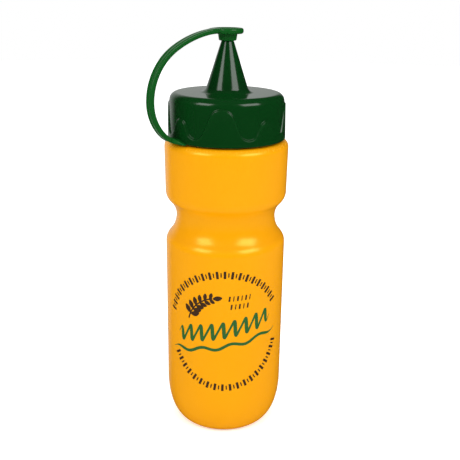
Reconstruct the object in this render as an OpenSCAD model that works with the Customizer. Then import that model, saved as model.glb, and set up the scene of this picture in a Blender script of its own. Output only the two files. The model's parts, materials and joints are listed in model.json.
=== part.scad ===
// Squeeze sauce bottle with a screw lid, a conical nozzle and a captive tip cap on a strap.
// Origin at the centre of the base, +Z up, -Y to the front. All sizes in millimetres.

/* [Bottle] */
// Diameter of the lower body
body_d = 73.5; // [60:0.5:90]
// Wall of the bottle
wall = 1.2; // [0.8:0.1:2]
// Radial reach of the rounded base corner
base_corner_w = 10.7; // [6:0.1:14]
// Height of the rounded base corner
base_corner_h = 27; // [12:0.5:32]
// Radius of the pushed-up middle of the base
push_up_r = 20; // [14:0.5:21]
// Rise of the pushed-up middle of the base
push_up_h = 2; // [1:0.1:4]
// Height of the narrowest point of the waist
waist_z = 137.4; // [120:0.1:165]
// Radial depth of the waist groove
waist_depth = 6.5; // [3:0.1:9]
// Height of the groove below its narrowest point
waist_low = 17; // [12:0.1:22]
// Height of the groove above its narrowest point
waist_high = 15.6; // [12:0.1:22]
// Radius of the rounded edges of the groove
waist_edge_r = 8.4; // [3:0.1:9]
// Height of the shoulder above the narrowest point
shoulder_rise = 47.1; // [38:0.1:60]
// Extra radius of the upper section at the shoulder
upper_flare = 0.35; // [0:0.05:1]
// Radius of the shoulder's rounded edge
shoulder_r = 4.5; // [2:0.1:6]

/* [Neck and thread] */
// How far the neck's wall lies inside the body's radius
neck_inset = 6.7; // [5.5:0.1:9]
// Wall of the neck
neck_wall = 1.6; // [1.2:0.1:2.5]
// Lead of the screw thread
thread_pitch = 5; // [4:0.1:6]
// Turns of thread on the neck and in the lid
thread_turns = 1.6; // [1:0.1:2]
// Height of the thread's ridge
thread_h = 1.1; // [0.8:0.05:1.4]
// Width of the ridge at its root
thread_root = 2.2; // [1.6:0.1:2.4]
// Width of the ridge at its crest
thread_crest = 1; // [0.6:0.1:1.4]
// Free gap between a ridge and the facing wall
thread_gap = 0.5; // [0.35:0.05:0.7]
// Height of the thread's start above the lid's rim
thread_rise = 4.4; // [3:0.1:6]

/* [Lid] */
// Height of the lid without its nozzle
lid_h = 26.4; // [24:0.1:36]
// Wall of the lid's skirt above the raised band
lid_wall = 2.2; // [1.4:0.1:2.6]
// Thickness of the lid's top
lid_top_t = 1.8; // [1.2:0.1:3]
// Gap between the shoulder and the lid's rim
lid_gap = 0.8; // [0.4:0.1:2]
// Radius of the lid's rounded top edge
lid_edge_r = 2.8; // [1:0.1:4]
// Step of the raised band
band_t = 1.1; // [0.4:0.05:1.4]
// Height of the plain part of the band
band_h = 3.6; // [2:0.1:8]
// Height of the tall arches of the band
tall_arch_h = 21; // [16:0.5:23]
// Width of a tall arch at its rounded top
tall_arch_top_w = 14.2; // [8:0.1:18]
// Width of a tall arch at the lid's rim
tall_arch_foot_w = 24.4; // [16:0.1:28]
// Height of the short arches of the band
short_arch_h = 14.3; // [8:0.1:20]
// Width of a short arch at its rounded top
short_arch_top_w = 9.2; // [5:0.1:12]
// Width of a short arch at the lid's rim
short_arch_foot_w = 18; // [10:0.1:20]
// Turn of the first tall arch from the front
arch_turn = -4.4; // [-45:0.1:45]
// Thickness of the sealing ring
seal_t = 1.5; // [0.8:0.1:3]
// Gap on each side of the sealing ring
seal_gap = 0.2; // [0.1:0.05:0.4]

/* [Nozzle] */
// Height of the nozzle above the lid's top
nozzle_h = 32.7; // [20:0.1:50]
// Outer radius at the nozzle's tip
nozzle_tip_r = 2.35; // [2:0.05:3]
// Half angle of the nozzle's cone
nozzle_angle = 18; // [12:0.5:22]
// Wall of the nozzle's cone
nozzle_wall = 1.6; // [1:0.1:2.5]
// Radius of the hole in the tip
nozzle_bore_r = 1.5; // [0.8:0.05:1.6]
// Radius of the fillet between the cone and the lid
nozzle_fillet_r = 4; // [1:0.1:5]

/* [Tip cap and strap] */
// Radius of the cap's disc
cap_r = 9.1; // [7:0.1:12]
// Thickness of the cap's disc
cap_t = 3.2; // [2:0.1:5]
// Outer radius of the cap's skirt under the disc
skirt_r = 5.5; // [5.2:0.1:7]
// Length of the cap's skirt
skirt_h = 3.8; // [2.5:0.1:5]
// Radius of the cap's socket over the tip
socket_r = 4.3; // [4:0.05:4.6]
// Radius of the plug that stands in the nozzle's hole
plug_r = 1; // [0.6:0.05:1.3]
// Length of the plug in the nozzle's hole
plug_h = 0.5; // [0.3:0.1:1.5]
// Depth of the hollow in the cap's top
cap_dish = 0.5; // [0.2:0.1:1]
// Gap between the tip and the cap
cap_gap = 0.2; // [0.15:0.05:0.5]
// Width of the strap
strap_w = 5.6; // [4:0.1:8]
// Thickness of the strap
strap_t = 2.8; // [1.6:0.1:3]
// Width of the strap's flared foot on the lid
strap_foot_w = 8.6; // [6:0.1:12]
// Thickness of the strap's flared foot on the lid
strap_foot_t = 3.2; // [2.8:0.1:3.6]
// Direction of the strap around the lid
strap_turn = 215; // [0:1:359]
// Furthest reach of the strap's middle line beyond the lid's rim
strap_reach = 16.1; // [12:0.1:24]
// Gap between two links of the strap
link_gap = 0.3; // [0.2:0.05:0.5]

/* [Hidden] */
$fn = 96;

// heights and radii that follow from the sizes above
body_r = body_d / 2;
waist_r = body_r - waist_depth;
shoulder_z = waist_z + shoulder_rise;
upper_r = body_r + upper_flare;
neck_r = body_r - neck_inset;
neck_bore_r = neck_r - neck_wall;
lid_in_r = neck_r + thread_h + thread_gap;
lid_r = lid_in_r + lid_wall;
band_r = lid_r + band_t;
lid_z = shoulder_z + lid_gap;
lid_top = lid_z + lid_h;
lid_under = lid_top - lid_top_t;
seal_z = lid_under - seal_gap - seal_t;
rim_z = seal_z - seal_gap;
nozzle_top = lid_top + nozzle_h;
thread_z = lid_z + thread_rise;
// steps in one turn of a thread, and the steps over which it fades in and out
thread_steps = 24;
thread_fade = 4;
// how far a ridge and the band are rooted in their wall, and the strap's first arc in its foot
root_bite = 0.4;
// lap between two steps of a ridge, in degrees
step_lap = 0.4;

// points on a round stretch, from angle a to angle b
function arc(c, r, a, b, n) = [for (i = [0:n]) c + r * [cos(a + (b - a) * i / n), sin(a + (b - a) * i / n)]];

// one side of the waist: two tangent arcs, a convex edge and a concave groove
function waist_turn(h) = 2 * atan(waist_depth / h);
function groove_r(h) = h / sin(waist_turn(h)) - waist_edge_r;

// outer outline of the bottle, or its inner outline at the depth t under the skin
function body_outline(t) = concat(
    [for (i = [0:14]) let (a = 90 * i / 14)
        [body_r - base_corner_w + (base_corner_w - t) * sin(a),
         base_corner_h - (base_corner_h - t) * cos(a)]],
    arc([body_r - waist_edge_r, waist_z - waist_low], waist_edge_r - t, 0, waist_turn(waist_low), 6),
    arc([waist_r + groove_r(waist_low), waist_z], groove_r(waist_low) + t,
        180 + waist_turn(waist_low), 180, 7),
    arc([waist_r + groove_r(waist_high), waist_z], groove_r(waist_high) + t,
        180, 180 - waist_turn(waist_high), 7),
    arc([body_r - waist_edge_r, waist_z + waist_high], waist_edge_r - t, -waist_turn(waist_high), 0, 6),
    arc([upper_r - shoulder_r, shoulder_z - shoulder_r], shoulder_r - t, 0, 90, 8));

// right-handed ridge that winds round a wall in short level steps and fades in and out at its ends;
// out is 1 for an outside thread and -1 for an inside one
module ridge(r, z, out) {
    n = round(thread_turns * thread_steps);
    for (i = [0:n - 1]) {
        rise = thread_h * min(1, min(i + 1, n - i) / thread_fade);
        rotate([0, 0, 360 * i / thread_steps]) translate([0, 0, z + thread_pitch * i / thread_steps])
            rotate_extrude(angle = 360 / thread_steps + step_lap) polygon([
                [r - out * root_bite, -thread_root / 2], [r + out * rise, -thread_crest / 2],
                [r + out * rise, thread_crest / 2], [r - out * root_bite, thread_root / 2]]);
    }
}

module bottle() {
    color([0.96, 0.67, 0.02]) {
        rotate_extrude() polygon(concat(
            [[0, push_up_h]], [[push_up_r - 2 * push_up_h, push_up_h], [push_up_r, 0]],
            body_outline(0), [[neck_r, shoulder_z]], [[neck_r, rim_z], [neck_bore_r, rim_z]],
            [[neck_bore_r, shoulder_z - wall]],
            [for (i = [len(body_outline(wall)) - 1:-1:0]) body_outline(wall)[i]],
            [[push_up_r, wall], [push_up_r - 2 * push_up_h, push_up_h + wall], [0, push_up_h + wall]]));
        ridge(neck_r, thread_z, 1);
    }
}

module neck_seal() {
    color([0.93, 0.93, 0.9]) translate([0, 0, seal_z]) difference() {
        cylinder(r = neck_r + thread_h / 2, h = seal_t);
        translate([0, 0, -1]) cylinder(r = neck_bore_r, h = seal_t + 2);
    }
}

// outline of the lid with its nozzle, cut through the axis
cone_t = tan(nozzle_angle);
function cone_r(z) = nozzle_tip_r + (nozzle_top - z) * cone_t;
fillet_z = lid_top + nozzle_fillet_r;
fillet_x = cone_r(fillet_z) + nozzle_fillet_r / cos(nozzle_angle);
inside_shift = nozzle_wall / cos(nozzle_angle);
bore_z = nozzle_top - (nozzle_bore_r + inside_shift - nozzle_tip_r) / cone_t;

module lid_shell() {
    rotate_extrude() polygon(concat(
        [[lid_in_r, lid_z], [lid_r, lid_z]],
        arc([lid_r - lid_edge_r, lid_top - lid_edge_r], lid_edge_r, 0, 90, 8),
        arc([fillet_x, fillet_z], nozzle_fillet_r, 270, 180 + nozzle_angle, 8),
        [[nozzle_tip_r, nozzle_top], [nozzle_bore_r, nozzle_top], [nozzle_bore_r, bore_z]],
        [[cone_r(lid_under) - inside_shift, lid_under], [lid_in_r, lid_under]]));
}

// flat outline of one arch of the raised band, standing on the band
module arch(h, foot_w, top_w) {
    polygon([[-foot_w / 2, 0], [foot_w / 2, 0], [top_w / 2, h - top_w / 2], [-top_w / 2, h - top_w / 2]]);
    translate([0, h - top_w / 2]) circle(d = top_w);
}

module raised_band() {
    intersection() {
        translate([0, 0, lid_z]) difference() {
            cylinder(r = band_r, h = tall_arch_h + 1);
            translate([0, 0, -1]) cylinder(r = lid_r - root_bite, h = tall_arch_h + 3);
        }
        union() {
            translate([0, 0, lid_z]) cylinder(r = band_r + 1, h = band_h);
            for (i = [0:7])
                rotate([0, 0, arch_turn - 90 + 45 * i])
                    translate([0, 0, lid_z])
                        rotate([90, 0, 90])
                            linear_extrude(height = band_r + 1)
                                if (i % 2 == 0) arch(tall_arch_h, tall_arch_foot_w, tall_arch_top_w);
                                else arch(short_arch_h, short_arch_foot_w, short_arch_top_w);
        }
    }
}

// middle line of the strap: four tangent arcs in an upright plane, [centre, radius, start, end]
root_r = 13;
rise_r = 26;
bow_r = 34;
crown_r = 60;
rise_a = 45;
bow_a = 58;
reach_x = band_r + strap_reach;
cap_z = nozzle_top + cap_gap;
strap_end_x = cap_r + link_gap;
rise_c = [reach_x - rise_r, 0];
root_c = rise_c + (rise_r - root_r) * [cos(rise_a), -sin(rise_a)];
bow_c = [reach_x - bow_r, 0];
crown_c = bow_c + (bow_r - crown_r) * [cos(bow_a), sin(bow_a)];
crown_a = acos((strap_end_x - crown_c[0]) / crown_r);
// the strap's end lies level with the middle of the cap's disc
strap_z = cap_z + cap_t / 2 - crown_c[1] - crown_r * sin(crown_a);

// each link is [centre, radius, first angle, last angle]
function split(c, r, a, b, n) = [for (i = [0:n - 1]) [c, r, a + (b - a) * i / n, a + (b - a) * (i + 1) / n]];
links = concat(split(rise_c, rise_r, -rise_a, 0, 2), split(bow_c, bow_r, 0, bow_a, 3),
               split(crown_c, crown_r, bow_a, crown_a, 3));

// cross-section of the strap or its foot, the thickness t along X and the width w along Y
module strap_section(t, w) {
    edge = t / 3;
    square([t, w - 2 * edge], center = true);
    square([t - 2 * edge, w], center = true);
    for (x = [-1, 1], y = [-1, 1])
        translate([x * (t / 2 - edge), y * (w / 2 - edge)]) circle(r = edge, $fn = 24);
}

// stretch of the strap, bent round the arc's centre, with its ends cut back by trim_a and trim_b
module strap_arc(c, r, a, b, trim_a, trim_b) {
    cut_a = a + trim_a / r * 180 / PI;
    cut_b = b - trim_b / r * 180 / PI;
    rotate([0, 0, strap_turn]) translate([c[0], 0, strap_z + c[1]]) rotate([90, 0, 0])
        rotate([0, 0, cut_a]) rotate_extrude(angle = cut_b - cut_a)
            translate([r, 0]) strap_section(strap_t, strap_w);
}

// root of the strap: a flared level foot from inside the lid's wall, and the first arc
module strap_root() {
    foot_x = lid_in_r + lid_wall / 2;
    foot_end = max(root_c[0], band_r) + root_bite;
    difference() {
        union() {
            strap_arc(root_c, root_r, -90, -rise_a, 0, link_gap / 2);
            rotate([0, 0, strap_turn]) translate([foot_x, 0, strap_z + root_c[1] - root_r])
                rotate([90, 0, 90]) linear_extrude(height = foot_end - foot_x)
                    rotate(90) strap_section(strap_foot_t, strap_foot_w);
        }
        cylinder(r = foot_x, h = lid_top);
    }
}

module strap_link(i) {
    l = links[i - 1];
    color([0.1, 0.42, 0.16]) strap_arc(l[0], l[1], l[2], l[3], link_gap / 2, link_gap / 2);
}

module screw_lid() {
    color([0.03, 0.22, 0.09]) {
        lid_shell();
        raised_band();
        ridge(lid_in_r, thread_z + thread_pitch / 2, -1);
        strap_root();
    }
}

module tip_cap() {
    soft = cap_t / 3;
    cap_top = cap_z + cap_t;
    skirt_end = cap_z - skirt_h;
    skirt_soft = (skirt_r - socket_r) * 2 / 3;
    color([0.1, 0.42, 0.16]) rotate_extrude() polygon(concat(
        [[0, cap_top - cap_dish], [cap_r - 3 * soft, cap_top - cap_dish]],
        arc([cap_r - soft, cap_top - soft], soft, 90, 0, 5),
        arc([cap_r - soft, cap_z + soft], soft, 0, -90, 5),
        [[skirt_r, cap_z], [skirt_r, skirt_end + skirt_soft], [skirt_r - skirt_soft, skirt_end]],
        [[socket_r, skirt_end], [socket_r, cap_z], [plug_r, cap_z]],
        [[plug_r, cap_z - plug_h], [0, cap_z - plug_h]]));
}

bottle();
neck_seal();
screw_lid();
strap_link(1);  // strap_link_1
strap_link(2);  // strap_link_2
strap_link(3);  // strap_link_3
strap_link(4);  // strap_link_4
strap_link(5);  // strap_link_5
strap_link(6);  // strap_link_6
strap_link(7);  // strap_link_7
strap_link(8);  // strap_link_8
tip_cap();
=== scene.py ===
"""Looks of a squeeze sauce bottle.

A blow-moulded bottle with a printed front, a screw lid with a conical nozzle, a sealing ring, and a
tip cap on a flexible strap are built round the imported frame. Lengths are in millimetres until a mesh
is made, and every outline is a list of (radius, height) points.
"""

import json
import logging
import math
from dataclasses import dataclass
from enum import Enum

import bpy
import numpy as np
from mathutils import Matrix, Vector

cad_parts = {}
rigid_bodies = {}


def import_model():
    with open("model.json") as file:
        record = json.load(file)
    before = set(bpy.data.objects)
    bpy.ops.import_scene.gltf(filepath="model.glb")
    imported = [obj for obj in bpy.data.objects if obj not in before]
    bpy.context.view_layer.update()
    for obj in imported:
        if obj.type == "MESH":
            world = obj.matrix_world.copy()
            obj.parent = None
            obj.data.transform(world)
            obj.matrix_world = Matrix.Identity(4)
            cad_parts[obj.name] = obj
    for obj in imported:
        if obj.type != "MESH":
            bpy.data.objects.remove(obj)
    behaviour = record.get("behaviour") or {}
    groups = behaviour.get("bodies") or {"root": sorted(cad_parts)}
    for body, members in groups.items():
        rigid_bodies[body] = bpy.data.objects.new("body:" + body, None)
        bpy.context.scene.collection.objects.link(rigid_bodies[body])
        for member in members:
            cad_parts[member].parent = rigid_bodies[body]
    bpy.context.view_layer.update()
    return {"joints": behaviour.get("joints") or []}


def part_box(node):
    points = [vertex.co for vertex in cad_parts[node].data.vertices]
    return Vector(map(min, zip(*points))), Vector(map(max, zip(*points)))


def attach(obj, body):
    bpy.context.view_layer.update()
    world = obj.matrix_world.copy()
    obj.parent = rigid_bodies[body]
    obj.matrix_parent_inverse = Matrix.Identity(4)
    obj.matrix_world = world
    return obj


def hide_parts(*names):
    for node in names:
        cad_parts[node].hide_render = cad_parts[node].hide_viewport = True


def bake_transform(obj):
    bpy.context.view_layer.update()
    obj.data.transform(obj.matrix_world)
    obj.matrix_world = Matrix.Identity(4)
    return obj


MM = 0.001
TURN = 2 * math.pi
THREAD_ROW = 0.25  # height of a mesh row on the threaded walls
log = logging.getLogger("sauce_bottle")


# ---------------------------------------------------------------- outlines and grids


class Ends(Enum):
    """How the first and the last row of a grid are closed."""

    POLES = "both rows shrink to one point"
    FLAT = "a flat face closes each row"
    LOOP = "the last row joins the first"


@dataclass
class Shell:
    """Closed surface: its points (n, 3) in millimetres, its faces, and a wear value for each point."""

    points: np.ndarray
    faces: list
    wear: np.ndarray


def arc(centre: tuple, radius: float | tuple, start: float, end: float, count: int) -> np.ndarray:
    """Round stretch of an outline: centre + radius * (cos t, sin t).

    Args:
        centre: Centre of the stretch.
        radius: One radius, or the two half axes of an ellipse.
        start: First value of t, in degrees.
        end: Last value of t, in degrees.
        count: Number of points.

    Returns:
        Array (count, 2).
    """
    t = np.radians(np.linspace(start, end, count))
    return np.asarray(centre) + np.asarray(radius) * np.stack([np.cos(t), np.sin(t)], axis=1)


def line(first: tuple, last: tuple, count: int = 2) -> np.ndarray:
    """Straight stretch of an outline, with both ends."""
    return np.linspace(first, last, count)


def outline(*stretches: np.ndarray) -> np.ndarray:
    """Joins stretches and drops a point that repeats the one before it.

    Args:
        *stretches: Arrays (n, 2), in the order of the outline.

    Returns:
        Array (count, 2).
    """
    points = np.concatenate(stretches)
    step = np.linalg.norm(np.diff(points, axis=0), axis=1)
    return points[np.r_[True, step > 1e-6]]


def smooth(value: np.ndarray) -> np.ndarray:
    """Eases 0..1 in and out: 3 v^2 - 2 v^3, held at 0 and 1 outside."""
    v = np.clip(value, 0, 1)
    return v * v * (3 - 2 * v)


def polar_grid(radius: np.ndarray, angle: np.ndarray, height: np.ndarray) -> np.ndarray:
    """Grid of points (rows, columns, 3): radius * cos angle, radius * sin angle, height."""
    r, a, z = np.broadcast_arrays(radius, angle, height)
    return np.stack([r * np.cos(a), r * np.sin(a), z], axis=-1)


def grid_shell(grid: np.ndarray, ends: Ends, wear: np.ndarray | None = None) -> Shell:
    """Turns a grid whose columns go round into a closed shell that faces outwards.

    Point (i, j) joins (i, j + 1), where the last column joins the first. The faces are turned over if
    the volume, the sum of p0 . (p1 x p2) / 6 over their triangles, comes out negative.

    Args:
        grid: Points (rows, columns, 3).
        ends: How the first and the last row are closed.
        wear: Wear of each row, or None.

    Returns:
        The shell.
    """
    rows, cols = grid.shape[:2]
    row_wear = np.zeros(rows) if wear is None else wear
    index = np.arange(rows * cols).reshape(rows, cols)
    if ends is Ends.LOOP:
        index = np.vstack([index, index[:1]])
    right = np.roll(index, -1, axis=1)
    quads = np.stack([index[:-1], right[:-1], right[1:], index[1:]], axis=-1).reshape(-1, 4)
    points = grid.reshape(-1, 3)
    value = np.repeat(row_wear, cols)
    faces = quads.tolist()
    if ends is Ends.FLAT:
        faces += [index[0, ::-1].tolist(), index[-1].tolist()]
    if ends is Ends.POLES:
        first, last = len(points), len(points) + 1
        points = np.vstack([points, grid[0].mean(axis=0), grid[-1].mean(axis=0)])
        value = np.r_[value, row_wear[0], row_wear[-1]]
        fan_a = np.stack([right[0], index[0], np.full(cols, first)], axis=-1)
        fan_b = np.stack([index[-1], right[-1], np.full(cols, last)], axis=-1)
        faces += fan_a.tolist() + fan_b.tolist()
    p = points[quads] - points.mean(axis=0)
    volume = np.einsum("ni,ni->n", p[:, 0], np.cross(p[:, 1], p[:, 2]))
    volume += np.einsum("ni,ni->n", p[:, 0], np.cross(p[:, 2], p[:, 3]))
    if volume.sum() < 0:
        faces = [face[::-1] for face in faces]
    return Shell(points, faces, value)


def revolve(points: np.ndarray, columns: int, ends: Ends, wear: np.ndarray | None = None) -> Shell:
    """Shell of an outline turned about the Z axis, with as many columns as given."""
    angle = np.arange(columns) / columns * TURN
    return grid_shell(polar_grid(points[:, :1], angle[None], points[:, 1:]), ends, wear)


def corner_wear(points: np.ndarray, reach: float) -> np.ndarray:
    """Wear of each outline point: how far the outline turns near it, as a share of 90 degrees.

    Args:
        points: The outline, as an array (n, 2).
        reach: How far along the outline to each side the turn is measured.

    Returns:
        Array (n,) of 0..1.
    """
    step = np.diff(points, axis=0, append=points[-1:] * 2 - points[-2:-1])
    length = np.r_[0, np.cumsum(np.linalg.norm(step[:-1], axis=1))]
    heading = np.unwrap(np.arctan2(step[:, 1], step[:, 0]))
    ahead = np.interp(length + reach, length, heading)
    behind = np.interp(length - reach, length, heading)
    return np.clip(np.abs(ahead - behind) / (math.pi / 2), 0, 1)


def join(shells: list[Shell]) -> Shell:
    """Puts several closed shells into one.

    Args:
        shells: The shells, which stay apart from each other.

    Returns:
        One shell with all their points and faces.
    """
    starts = np.r_[0, np.cumsum([len(s.points) for s in shells])[:-1]].astype(int)
    faces = [[v + start for v in face] for s, start in zip(shells, starts.tolist()) for face in s.faces]
    return Shell(np.vstack([s.points for s in shells]), faces, np.concatenate([s.wear for s in shells]))


def helix_ridge(angle: np.ndarray, height: np.ndarray, start: float, thread: "Thread") -> np.ndarray:
    """Height of a screw ridge over a round wall.

    The ridge's middle climbs by the pitch in each turn, from angle 0 at the start height. Its section is
    a trapezium, and it fades in and out over a share of a turn.

    Args:
        angle: Angles round the wall, in radians.
        height: Heights on the wall, which broadcast with the angles.
        start: Height of the ridge's middle where it starts.
        thread: Sizes of the thread.

    Returns:
        Ridge height at each point.
    """
    first = np.mod(angle, TURN) / TURN
    ridge = np.zeros(np.broadcast_shapes(np.shape(angle), np.shape(height)))
    flank = (thread.root - thread.crest) / 2
    for lap in range(math.ceil(thread.turns)):
        turn = first + lap
        off = np.abs(height - start - thread.pitch * turn)
        section = np.clip((thread.root / 2 - off) / flank, 0, 1)
        fade = smooth(np.minimum(turn, thread.turns - turn) / thread.fade)
        ridge = np.maximum(ridge, thread.height * section * fade)
    return ridge


# ---------------------------------------------------------------- materials


class Value:
    """Output socket of a shader node. Arithmetic on it adds Math nodes."""

    def __init__(self, graph: "Graph", socket: bpy.types.NodeSocket) -> None:
        """Keeps the socket and the graph that it belongs to."""
        self.graph = graph
        self.socket = socket

    def _math(self, operation: str, first: "Value | float", second: "Value | float") -> "Value":
        """Adds one Math node and returns its result."""
        return self.graph.add("ShaderNodeMath", {"operation": operation}, {0: first, 1: second})

    def __add__(self, other: "Value | float") -> "Value":
        """Sum."""
        return self._math("ADD", self, other)

    def __radd__(self, other: float) -> "Value":
        """Sum, with the number first."""
        return self._math("ADD", other, self)

    def __sub__(self, other: "Value | float") -> "Value":
        """Difference."""
        return self._math("SUBTRACT", self, other)

    def __rsub__(self, other: float) -> "Value":
        """Difference, with the number first."""
        return self._math("SUBTRACT", other, self)

    def __mul__(self, other: "Value | float") -> "Value":
        """Product."""
        return self._math("MULTIPLY", self, other)

    def __rmul__(self, other: float) -> "Value":
        """Product, with the number first."""
        return self._math("MULTIPLY", other, self)

    def clamped(self) -> "Value":
        """The value held between 0 and 1."""
        return self.graph.add("ShaderNodeClamp", {}, {"Value": self})


class Graph:
    """Node tree of one material or world."""

    def __init__(self, owner: bpy.types.Material | bpy.types.World) -> None:
        """Switches the owner to nodes and empties its tree.

        Args:
            owner: The material or the world that the tree belongs to.
        """
        owner.use_nodes = True
        self.tree = owner.node_tree
        self.tree.nodes.clear()

    def add(self, kind: str, settings: dict, sockets: dict, output: int | str = 0) -> Value | None:
        """Adds one node.

        Args:
            kind: Blender's type name of the node.
            settings: Node properties, set before the sockets.
            sockets: Input sockets by name or number, each with a number, a vector or a Value.
            output: Name or number of the output that is wanted.

        Returns:
            The output as a Value, or None from a node that has no outputs.
        """
        node = self.tree.nodes.new(kind)
        for name, setting in settings.items():
            setattr(node, name, setting)
        for name, given in sockets.items():
            if isinstance(given, Value):
                self.tree.links.new(given.socket, node.inputs[name])
            else:
                node.inputs[name].default_value = given
        return Value(self, node.outputs[output]) if node.outputs else None

    def place(self) -> Value:
        """Object coordinates, in metres."""
        return self.add("ShaderNodeTexCoord", {}, {}, "Object")

    def stretched(self, vector: Value, scale: tuple) -> Value:
        """The vector multiplied by scale, which squeezes a pattern along an axis."""
        return self.add("ShaderNodeVectorMath", {"operation": "MULTIPLY"}, {0: vector, 1: scale})

    def noise(self, vector: Value, size: float, detail: float = 2.0) -> Value:
        """Soft noise of 0..1 whose lumps are about size millimetres across."""
        sockets = {"Vector": vector, "Scale": 1 / (size * MM), "Detail": detail, "Roughness": 0.5}
        return self.add("ShaderNodeTexNoise", {}, sockets)

    def attribute(self, name: str) -> Value:
        """Number that the piece's mesh stores at each point."""
        return self.add("ShaderNodeAttribute", {"attribute_name": name}, {}, "Fac")

    def mix(self, factor: Value, first: tuple | Value, second: tuple | Value) -> Value:
        """Colour between two colours."""
        settings = {"data_type": "RGBA"}
        return self.add("ShaderNodeMix", settings, {"Factor": factor, 6: first, 7: second}, 2)

    def bump(self, height: Value, depth: float, normal: Value | None = None) -> Value:
        """Bends the normal by a height.

        Args:
            height: Height of 0..1.
            depth: What a height of 1 stands for, in millimetres.
            normal: Normal that is bent, or None for the surface's own.

        Returns:
            The new normal.
        """
        sockets = {"Height": height, "Strength": 1.0, "Distance": depth * MM}
        if normal is not None:
            sockets["Normal"] = normal
        return self.add("ShaderNodeBump", {}, sockets)

    def finish(self, sockets: dict) -> None:
        """Closes the tree with one Principled shader that has these sockets."""
        shader = self.add("ShaderNodeBsdfPrincipled", {}, sockets)
        self.add("ShaderNodeOutputMaterial", {}, {"Surface": shader})


def rgba(colour: tuple, gain: float = 1.0) -> tuple:
    """Colour with an alpha of 1, made lighter or darker by gain."""
    return (*(min(1.0, c * gain) for c in colour), 1.0)


@dataclass(frozen=True)
class MouldedPlastic:
    """Moulded thermoplastic: orange peel, faint flow lines, cloudy gloss and rubbed edges.

    Sizes and depths are in millimetres, and a stretch squeezes its pattern along the height. Gloss
    spread and edge rub are added to the roughness. A rubbed edge goes edge_fade of the way towards the
    colour made lighter by edge_gain.
    """

    name: str
    colour: tuple
    roughness: float
    colour_spread: float
    gloss_spread: float
    peel_size: float
    peel_depth: float
    flow_depth: float
    edge_rub: float
    specular: float
    gloss_tint: tuple = (1.0, 1.0, 1.0)
    cloud_size: float = 22.0
    flow_size: float = 2.6
    flow_stretch: float = 0.06
    scuff_size: float = 0.9
    scuff_stretch: float = 0.3
    edge_fade: float = 0.35
    edge_gain: float = 1.6

    def material(self) -> bpy.types.Material:
        """Builds the finish's node tree.

        Returns:
            The material.
        """
        material = bpy.data.materials.new(self.name)
        graph = Graph(material)
        place = graph.place()
        cloud = graph.noise(place, self.cloud_size)
        flow = graph.noise(graph.stretched(place, (1.0, 1.0, self.flow_stretch)), self.flow_size)
        peel = graph.noise(place, self.peel_size, 1.0)
        scuff = graph.noise(graph.stretched(place, (1.0, 1.0, self.scuff_stretch)), self.scuff_size, 4.0)
        # Scuffs show where their noise is over about a fifth, and fully where it is over five sixths.
        rub = graph.attribute("wear") * (scuff * 1.6 - 0.35).clamped()
        low = rgba(self.colour, 1 - self.colour_spread)
        high = rgba(self.colour, 1 + self.colour_spread)
        base = graph.mix(cloud, low, high)
        worn = graph.mix(rub * self.edge_fade, base, rgba(self.colour, self.edge_gain))
        rough = self.roughness + (cloud - 0.5) * self.gloss_spread + rub * self.edge_rub
        normal = graph.bump(peel, self.peel_depth)
        normal = graph.bump(flow, self.flow_depth, normal)
        graph.finish({
            "Base Color": worn, "Roughness": rough.clamped(), "Normal": normal,
            "Specular IOR Level": self.specular, "Specular Tint": rgba(self.gloss_tint),
        })
        return material


@dataclass(frozen=True)
class PrintInk:
    """Screen ink: nearly opaque, thinner in specks, and less glossy than the plastic under it.

    Sizes and depths are in millimetres. Specks are the peaks of a fine grain, over a faint patchiness.
    """

    name: str
    colour: tuple
    thin_colour: tuple
    roughness: float
    grain_size: float = 0.35
    grain_depth: float = 0.012
    patch_size: float = 6.0
    gloss_spread: float = 0.12

    def material(self) -> bpy.types.Material:
        """Builds the finish's node tree.

        Returns:
            The material.
        """
        material = bpy.data.materials.new(self.name)
        graph = Graph(material)
        place = graph.place()
        grain = graph.noise(place, self.grain_size, 3.0)
        patch = graph.noise(place, self.patch_size)
        thin = ((grain - 0.56) * 4.0).clamped() * 0.5 + patch * 0.14
        rough = self.roughness + (grain - 0.5) * self.gloss_spread
        normal = graph.bump(grain, self.grain_depth)
        graph.finish({
            "Base Color": graph.mix(thin.clamped(), rgba(self.colour), rgba(self.thin_colour)),
            "Roughness": rough.clamped(), "Normal": normal,
        })
        return material


@dataclass(frozen=True)
class SealFoam:
    """Closed-cell foam: matt, with fine cells and faint clouds. Sizes and depths are in millimetres."""

    name: str
    colour: tuple
    cell_size: float
    cell_depth: float
    cloud_size: float = 7.0

    def material(self) -> bpy.types.Material:
        """Builds the finish's node tree.

        Returns:
            The material.
        """
        material = bpy.data.materials.new(self.name)
        graph = Graph(material)
        place = graph.place()
        sockets = {"Vector": place, "Scale": 1 / (self.cell_size * MM)}
        cells = graph.add("ShaderNodeTexVoronoi", {"feature": "SMOOTH_F1"}, sockets)
        cloud = graph.noise(place, self.cloud_size)
        graph.finish({
            "Base Color": graph.mix(cloud, rgba(self.colour, 0.92), rgba(self.colour)),
            "Roughness": 0.85 + cells * 0.1, "Normal": graph.bump(cells, self.cell_depth),
        })
        return material


@dataclass(frozen=True)
class StudioFloor:
    """Matt white sweep with the least trace of grain, lit a little from within. Sizes are in millimetres."""

    name: str
    colour: tuple
    glow: float
    grain_size: float = 3.0
    grain_depth: float = 0.02

    def material(self) -> bpy.types.Material:
        """Builds the finish's node tree.

        Returns:
            The material.
        """
        material = bpy.data.materials.new(self.name)
        graph = Graph(material)
        grain = graph.noise(graph.place(), self.grain_size, 3.0)
        graph.finish({
            "Base Color": graph.mix(grain, rgba(self.colour, 0.99), rgba(self.colour)),
            "Roughness": 0.9, "Specular IOR Level": 0.1, "Normal": graph.bump(grain, self.grain_depth),
            "Emission Color": rgba((1.0, 1.0, 1.0)), "Emission Strength": self.glow,
        })
        return material


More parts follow.
